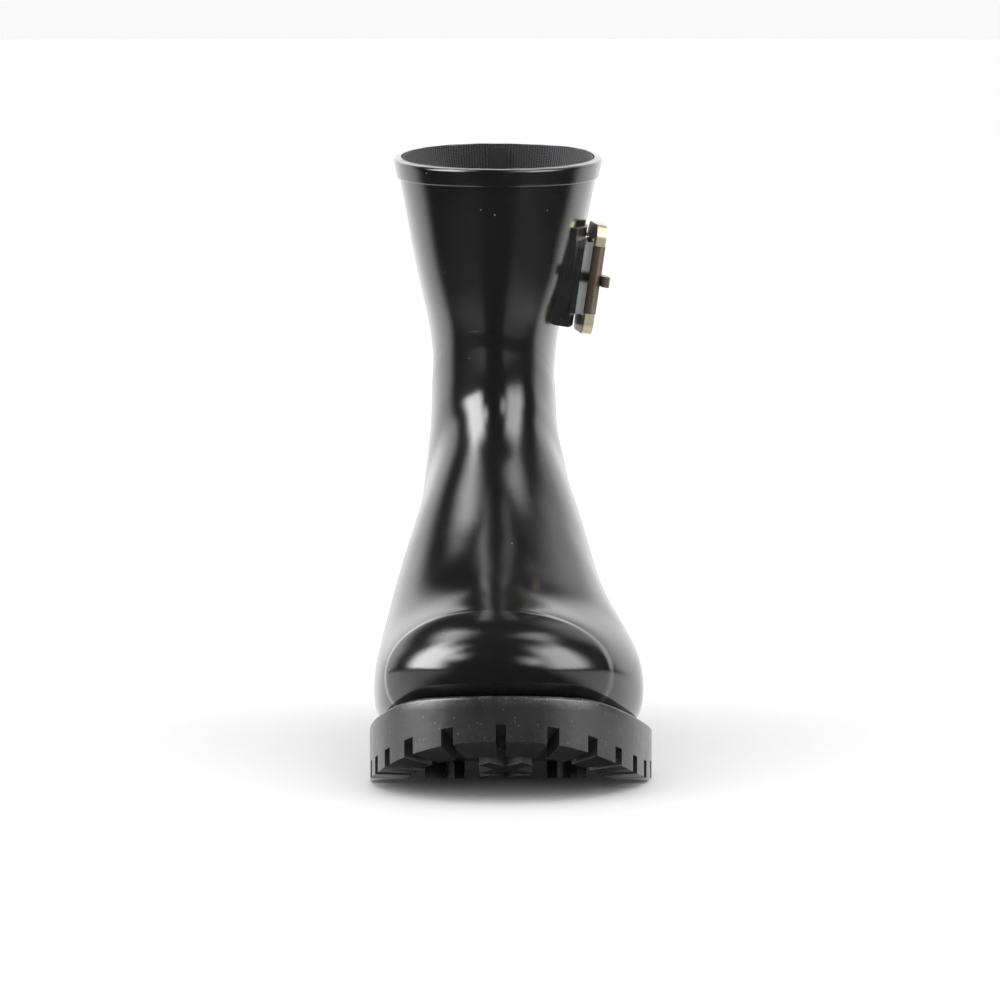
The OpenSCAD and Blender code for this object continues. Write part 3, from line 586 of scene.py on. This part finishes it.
# ------------------------------------------------------------- outsole ----
EDGE = np.array([
    (-4, -143), (15, -141.5), (32, -132), (44.5, -114), (52, -90), (55, -64), (51.5, -36), (44, -8),
    (38, 22), (35, 52), (35, 82), (34, 108), (28.5, 130), (13, 142), (-4, 143.5), (-21, 142),
    (-36, 130), (-42, 108), (-43.5, 80), (-44, 52), (-46.5, 22), (-50, -8), (-53.5, -36),
    (-55, -64), (-54.5, -90), (-50.5, -112), (-41, -130), (-24, -141)], float) - np.array([-0.404, 0.292])
NE = len(EDGE)


def outline(u, d=0.0):
    u = np.asarray(u, float)
    i = np.floor(u).astype(int)
    t = u - i
    w, dw = bw(t), dbw(t)
    p = sum(w[a][..., None] * EDGE[(i - 1 + a) % NE] for a in range(4))
    q = sum(dw[a][..., None] * EDGE[(i - 1 + a) % NE] for a in range(4))
    q = q / np.linalg.norm(q, axis=-1, keepdims=True)
    return p + d * np.stack([-q[..., 1], q[..., 0]], axis=-1), q


seat_p, _ = surf(np.linspace(2, 12.5, 60), np.full(60, 8.0))
seat_y = np.concatenate([[-160, seat_p[0, 1] - 7], seat_p[:, 1], [160]])
seat_z = np.concatenate([[seat_p[0, 2] + 9.0, seat_p[0, 2] + 2.6], seat_p[:, 2], [seat_p[-1, 2] + 0.3]])
BOT = np.array([(-150, 27.5), (-141, 22.4), (-135, 19), (-128, 15.3), (-120, 11.8), (-111, 8.3),
                (-101, 5.2), (-91, 2.8), (-81, 1.1), (-71, 0.2), (-64, 0), (132, 0), (140, 1.2),
                (150, 4.5)], float)


def seat(y):
    return np.interp(y, seat_y, seat_z)


def floor_line(y):
    return np.interp(y, BOT[:, 0], BOT[:, 1])


LUG = 6.5          # depth of the tread
RIMW = 14.0        # width of the channelled rim
TOP_EDGE = 3.0     # how far in the rounded top edge reaches
TOP_FLAT = 0.55    # its height over its width
HEEL_UP = 1.5      # the heel's tread is this much shallower
DUST_BAND = 2.2    # height of the dusty strip under the top edge
ARCH = 9.0         # rise of the arch


def prism(poly, z0, z1):
    n = len(poly)
    v = [(x, y, z0) for x, y in poly] + [(x, y, z1) for x, y in poly]
    area = sum(poly[i][0] * poly[(i + 1) % n][1] - poly[(i + 1) % n][0] * poly[i][1] for i in range(n))
    order = list(range(n)) if area > 0 else list(range(n))[::-1]
    f = [tuple(order[::-1]), tuple(i + n for i in order)]
    for k in range(n):
        a, b = order[k], order[(k + 1) % n]
        f.append((a, b, b + n, a + n))
    return v, f


def join(parts):
    vs, fs = [], []
    for v, f in parts:
        o = len(vs)
        vs += list(v)
        fs += [tuple(i + o for i in q) for q in f]
    return vs, fs


def boolean(ob, other, op):
    md = ob.modifiers.new("b", "BOOLEAN")
    md.operation = op
    md.object = other
    md.solver = "EXACT"
    md.use_self = True
    dg = bpy.context.evaluated_depsgraph_get()
    me = bpy.data.meshes.new_from_object(ob.evaluated_get(dg))
    ob.modifiers.clear()
    old = ob.data
    ob.data = me
    bpy.data.meshes.remove(old)
    dead = other.data
    bpy.data.objects.remove(other)
    bpy.data.meshes.remove(dead)


def clip_poly(poly, y0, y1):
    """Keeps the part of a closed outline between two y values."""
    def cut(pts, y, keep_above):
        out = []
        for i in range(len(pts)):
            a, b = pts[i], pts[(i + 1) % len(pts)]
            ia = (a[1] >= y) == keep_above
            ib = (b[1] >= y) == keep_above
            if ia:
                out.append(a)
            if ia != ib:
                t = (y - a[1]) / (b[1] - a[1])
                out.append((a[0] + t * (b[0] - a[0]), y))
        return out
    return cut(cut([tuple(p) for p in poly], y0, True), y1, False)


def make_outsole():
    nu = 4 * NE * 2
    uu = np.arange(nu) * NE / nu
    # wall rings in flattened height: at the tread, below the top edge, then round the top edge
    rings = []
    for a in [None, None] + list(np.linspace(0, math.pi / 2, 7)):
        p, _ = outline(uu, TOP_EDGE * (1 - math.cos(a)) if a is not None else 0.0)
        H = seat(p[:, 1]) - floor_line(p[:, 1])
        if a is None:
            z = H - TOP_EDGE - 2.0 if rings else 0.0 * H
        else:
            z = H - TOP_EDGE * TOP_FLAT + TOP_EDGE * TOP_FLAT * math.sin(a)
        rings.append(np.column_stack([p, z]))
    rows = len(rings)
    v = np.concatenate(rings)
    f = []
    for r in range(rows - 1):
        for c in range(nu):
            c2 = (c + 1) % nu
            f.append((r * nu + c, r * nu + c2, (r + 1) * nu + c2, (r + 1) * nu + c))
    f.append(tuple(range(nu))[::-1])
    f.append(tuple((rows - 1) * nu + c for c in range(nu)))
    body = mesh_object("outsole_body", v, f, smooth=False)
    # channels, placed along the outline: 0 is the toe and NE / 2 the heel
    slots = []
    fore = [1.05, 1.95, 2.7, 3.35, 3.95, 4.55, 5.15, 5.75, 6.35, 6.95]
    heel = [0.5, 1.45, 2.25, 2.95, 3.6]
    places = [(0.0, 4.0)] + [(u, 5.0) for u in fore] + [(NE - u, 5.0) for u in fore]
    places += [(NE / 2 + u, 5.0) for u in heel] + [(NE / 2 - u, 5.0) for u in heel]
    for u, w in places:
        p, q = outline(np.array([u]))
        p, q = p[0], q[0]
        nrm = np.array([-q[1], q[0]])
        is_heel = p[1] > 40
        c = [p - q * w / 2 - nrm * 4, p + q * w / 2 - nrm * 4,
             p + q * (w / 2 - 0.5) + nrm * (RIMW + 0.6), p - q * (w / 2 - 0.5) + nrm * (RIMW + 0.6)]
        slots.append(prism([tuple(x) for x in c], -3, LUG - HEEL_UP if is_heel else LUG))
    vv, ff = join(slots)
    boolean(body, mesh_object("cut1", vv, ff, smooth=False), "DIFFERENCE")
    ui = np.arange(NE * 4) / 4
    inner, _ = outline(ui, RIMW)
    innerh, _ = outline(ui, RIMW - 1)
    parts = [prism(clip_poly(inner, -150, -1.0), -3.1, LUG + 0.01),
             prism(clip_poly(innerh, 69, 150), -3.1, LUG - HEEL_UP + 0.01)]
    vv, ff = join(parts)
    boolean(body, mesh_object("cut2", vv, ff, smooth=False), "DIFFERENCE")
    # arch: a trapezium across the sole
    y = [3.0, 14.0, 58.5, 62.0]
    v = []
    for x in (-90, 90):
        v += [(x, y[0] - 1.1, -1), (x, y[0], 0), (x, y[1], ARCH)]
        v += [(x, y[2], ARCH), (x, y[3], 0), (x, y[3] + 0.4, -1)]
    f = [(0, 1, 2, 3, 4, 5), (11, 10, 9, 8, 7, 6)]
    for k in range(6):
        a, b = k, (k + 1) % 6
        f.append((b, a, a + 6, b + 6))
    arch = mesh_object("cut3", v, f, smooth=False)
    bm = bmesh.new()
    bm.from_mesh(arch.data)
    bmesh.ops.recalc_face_normals(bm, faces=bm.faces)
    bm.to_mesh(arch.data)
    bm.free()
    boolean(body, arch, "DIFFERENCE")
    # central lugs
    def star(cx, cy, r, w=2.7, top=LUG + 0.6):
        pts = []
        for k in range(4):
            a = math.radians(45 + 90 * k)
            dx, dy = math.cos(a), math.sin(a)
            nx, ny = -dy, dx
            k0 = 4.6
            pts.append((cx + dx * r - nx * w, cy + dy * r - ny * w))
            pts.append((cx + dx * r + nx * w, cy + dy * r + ny * w))
            b = a + math.pi / 4
            pts.append((cx + math.cos(b) * k0, cy + math.sin(b) * k0))
        return prism(pts, 0.0, top)
    lugs = []
    for k, y in enumerate([-112, -88, -63, -38, -14]):
        lugs.append(star(-2, y, 11.5))
        if k > 0:
            for s in (-1, 1):
                lugs.append(star(-2 + s * 23.5, y + 12.5 if y < -20 else y + 3, 8))
    for y in (85, 108):
        lugs.append(star(-4, y, 10.5, top=LUG))
    vv, ff = join(lugs)
    boolean(body, mesh_object("add1", vv, ff, smooth=False), "UNION")
    # cut across so that it can follow the curve of the toe, then lift
    bm = bmesh.new()
    bm.from_mesh(body.data)
    for y in list(np.arange(-141, -60, 3.0)) + list(np.arange(-58, 132, 6.0)) + [132, 136, 140]:
        bmesh.ops.bisect_plane(bm, geom=bm.verts[:] + bm.edges[:] + bm.faces[:],
                               plane_co=(0, float(y), 0), plane_no=(0, 1, 0))
    bmesh.ops.remove_doubles(bm, verts=bm.verts, dist=0.002)
    bmesh.ops.dissolve_degenerate(bm, edges=bm.edges, dist=0.002)
    layer = bm.verts.layers.float.new("dust")
    for vert in bm.verts:
        x, y, z = vert.co
        top_gap = float(seat(y) - floor_line(y)) - z
        if top_gap < DUST_BAND:
            vert[layer] = max(0.0, 1 - top_gap / DUST_BAND)
        else:
            vert[layer] = 0.12 if z < 0.4 else 0.0
        vert.co.z = z + float(floor_line(y))
        vert.co *= MM
    bm.to_mesh(body.data)
    bm.free()
    me = body.data
    me.polygons.foreach_set("use_smooth", [True] * len(me.polygons))
    me.set_sharp_from_angle(angle=math.radians(28))
    bv = body.modifiers.new("edges", "BEVEL")
    bv.width = 0.0005
    bv.segments = 2
    bv.limit_method = "ANGLE"
    bv.angle_limit = math.radians(38)
    bv.harden_normals = False
    body.name = "lugged_outsole"
    return body


sole = make_outsole()
put(sole, "boot", M_SOLE, "outsole", slot="sole_rubber")

# ----------------------------------------------- CAD nodes carried over ----
def dress(name, mat, width=0.0004, seg=2, angle=35):
    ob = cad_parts[name]
    ob.data.materials.clear()
    ob.data.materials.append(mat)
    if width:
        d = ob.modifiers.new("flat", "DECIMATE")
        d.decimate_type = "DISSOLVE"
        d.angle_limit = math.radians(1.5)
        b = ob.modifiers.new("bevel", "BEVEL")
        b.width = width
        b.segments = seg
        b.limit_method = "ANGLE"
        b.angle_limit = math.radians(angle)
        w = ob.modifiers.new("wn", "WEIGHTED_NORMAL")
        w.keep_sharp = True


dress("forefoot_filler", M_FILL, 0)
dress("heel_filler", M_FILL, 0)
dress("insole_board", M_BOARD, 0)
dress("strap_pad", M_STRAP, 0.0005)
dress("billet", M_STRAP, 0.0004)
dress("chape", M_STRAP, 0.0003)
dress("keeper_loop", M_STRAP, 0.0003)
dress("chape_rivets", M_GOLD, 0.0002)
dress("buckle_frame", M_GOLD, 0.0006, 3)
dress("buckle_roller", M_BRONZE, 0.0003)
dress("buckle_prong", M_BRONZE, 0.0005, 3)

# ------------------------------------------------------ floor and light ----
def smooth(nt, val, lo, hi):
    """0 below lo, 1 above hi, a soft step between; with lo above hi the step falls."""
    m = nt.nodes.new("ShaderNodeMapRange")
    m.interpolation_type = "SMOOTHSTEP"
    m.inputs["From Min"].default_value = min(lo, hi)
    m.inputs["From Max"].default_value = max(lo, hi)
    m.inputs["To Min"].default_value = 0.0 if lo < hi else 1.0
    m.inputs["To Max"].default_value = 1.0 if lo < hi else 0.0
    nt.links.new(val, m.inputs["Value"])
    return m.outputs["Result"]


def window(nt, val, lo, hi, soft):
    up = smooth(nt, val, lo - soft, lo + soft)
    down = smooth(nt, val, hi + soft, hi - soft)
    return math_node(nt, "MULTIPLY", up, down)


def bearings(nt, vec):
    """Angle round the boot from the front, to the right positive, and height angle, in degrees."""
    sep = nt.nodes.new("ShaderNodeSeparateXYZ")
    nt.links.new(vec, sep.inputs["Vector"])
    front = math_node(nt, "MULTIPLY", sep.outputs["Y"], -1.0)
    az = math_node(nt, "ARCTAN2", sep.outputs["X"], front)
    el = math_node(nt, "ARCSINE", sep.outputs["Z"])
    return math_node(nt, "MULTIPLY", az, 57.2958), math_node(nt, "MULTIPLY", el, 57.2958)


BACK_EDGE = 127.0   # the white backdrop begins this far round, in degrees from the front
FLOOR_R = 9


def stage_floor():
    n = 48
    turns = [2 * math.pi * k / n for k in range(n)]
    v = [(0, 0, 0)] + [(FLOOR_R * math.cos(a), FLOOR_R * math.sin(a), 0) for a in turns]
    f = [(0, 1 + k, 1 + (k + 1) % n) for k in range(n)]
    ob = mesh_object("floor", v, f)
    m, nt, b = new_mat("floor_paper")
    b.inputs["Base Color"].default_value = (0.93, 0.93, 0.935, 1)
    b.inputs["Roughness"].default_value = 0.6
    b.inputs["Specular IOR Level"].default_value = 0.2
    b.inputs["Emission Color"].default_value = (1, 1, 1, 1)
    b.inputs["Emission Strength"].default_value = 0.01
    geo = nt.nodes.new("ShaderNodeNewGeometry")
    az, _ = bearings(nt, geo.outputs["Position"])
    turn = math_node(nt, "ABSOLUTE", az)
    far = nt.nodes.new("ShaderNodeVectorMath")
    far.operation = "LENGTH"
    nt.links.new(geo.outputs["Position"], far.inputs[0])
    near = math_node(nt, "MULTIPLY", smooth(nt, turn, 20, 42), smooth(nt, far.outputs["Value"], 0.62, 0.34))
    lit = math_node(nt, "MAXIMUM", smooth(nt, turn, BACK_EDGE - 12, BACK_EDGE + 6), near)
    mirror = nt.nodes.new("ShaderNodeEmission")
    nt.links.new(math_node(nt, "ADD", math_node(nt, "MULTIPLY", lit, 1.25), 0.03), mirror.inputs["Strength"])
    lp = nt.nodes.new("ShaderNodeLightPath")
    mix = nt.nodes.new("ShaderNodeMixShader")
    nt.links.new(lp.outputs["Is Glossy Ray"], mix.inputs["Fac"])
    nt.links.new(b.outputs["BSDF"], mix.inputs[1])
    nt.links.new(mirror.outputs["Emission"], mix.inputs[2])
    nt.links.new(mix.outputs["Shader"], nt.nodes["Material Output"].inputs["Surface"])
    ob.data.materials.append(m)


stage_floor()


def area(name, loc, target, sx, sy, power):
    li = bpy.data.lights.new(name, "AREA")
    li.shape = "RECTANGLE"
    li.size = sx
    li.size_y = sy
    li.energy = power
    ob = bpy.data.objects.new(name, li)
    ob.location = loc
    ob.rotation_euler = (Vector(target) - Vector(loc)).to_track_quat("-Z", "Y").to_euler()
    ob.visible_glossy = False
    COLL.objects.link(ob)
    return ob


area("overhead", (0.2, 0.3, 2.4), (0, 0, 0), 2.2, 2.2, 12)

# what shiny surfaces see: white behind, dark in front, soft boxes at the sides; matt surfaces are
# lit from above, and the camera sees plain white
world = bpy.data.worlds.new("studio")
bpy.context.scene.world = world
world.use_nodes = True
nt = world.node_tree
nt.nodes.clear()
out = nt.nodes.new("ShaderNodeOutputWorld")
bg = nt.nodes.new("ShaderNodeBackground")
tc = nt.nodes.new("ShaderNodeTexCoord")
az, el = bearings(nt, tc.outputs["Generated"])
behind = math_node(nt, "MULTIPLY", smooth(nt, math_node(nt, "ABSOLUTE", az), BACK_EDGE - 7, BACK_EDGE + 7),
                   smooth(nt, el, 34, 16))
behind_r = math_node(nt, "MULTIPLY", window(nt, az, 128, 162, 9), smooth(nt, el, 62, 38))


def box_light(a0, a1, e0, e1, soft, level):
    lit = math_node(nt, "MULTIPLY", window(nt, az, a0, a1, soft), window(nt, el, e0, e1, soft))
    return math_node(nt, "MULTIPLY", lit, level)


gloss = math_node(nt, "MAXIMUM", behind, math_node(nt, "MULTIPLY", behind_r, 0.8))
gloss = math_node(nt, "ADD", math_node(nt, "MULTIPLY", gloss, 1.45), 0.03)
# from and to round the boot, from and to in height, softness, brightness
for lamp in ((-98, -50, -4, 58, 12, 15.0), (-142, -92, 52, 70, 10, 6.0), (-46, -34, 28, 44, 10, 12.0),
             (40, 88, -2, 60, 12, 8.0), (88, 132, 62, 78, 9, 4.0), (20, 34, 14, 36, 10, 7.0)):
    gloss = math_node(nt, "ADD", gloss, box_light(*lamp))
sep = nt.nodes.new("ShaderNodeSeparateXYZ")
nt.links.new(tc.outputs["Generated"], sep.inputs["Vector"])
up = math_node(nt, "MAXIMUM", sep.outputs["Z"], 0.0)
high = math_node(nt, "ADD", math_node(nt, "MULTIPLY", up, 1.1), 0.25)
lp = nt.nodes.new("ShaderNodeLightPath")
lvl = mixc(nt, lp.outputs["Is Glossy Ray"], high, gloss)
lvl = mixc(nt, lp.outputs["Is Camera Ray"], lvl, (0.955, 0.955, 0.96))
nt.links.new(lvl, bg.inputs["Color"])
bg.inputs["Strength"].default_value = 1.0
nt.links.new(bg.outputs["Background"], out.inputs["Surface"])

# --------------------------------------------------------------- camera ----
cam = bpy.data.cameras.new("camera")
cam.sensor_width = 36.0
cam.lens = 36.0 * 7.14
cam.clip_end = 50
co = bpy.data.objects.new("camera", cam)
co.location = (0.0, -2.8, 0.37)
d = Vector((-0.00154, 1.0, -0.0962))
co.rotation_euler = d.to_track_quat("-Z", "Y").to_euler()
COLL.objects.link(co)
bpy.context.scene.camera = co
bpy.context.scene.view_settings.view_transform = "Standard"
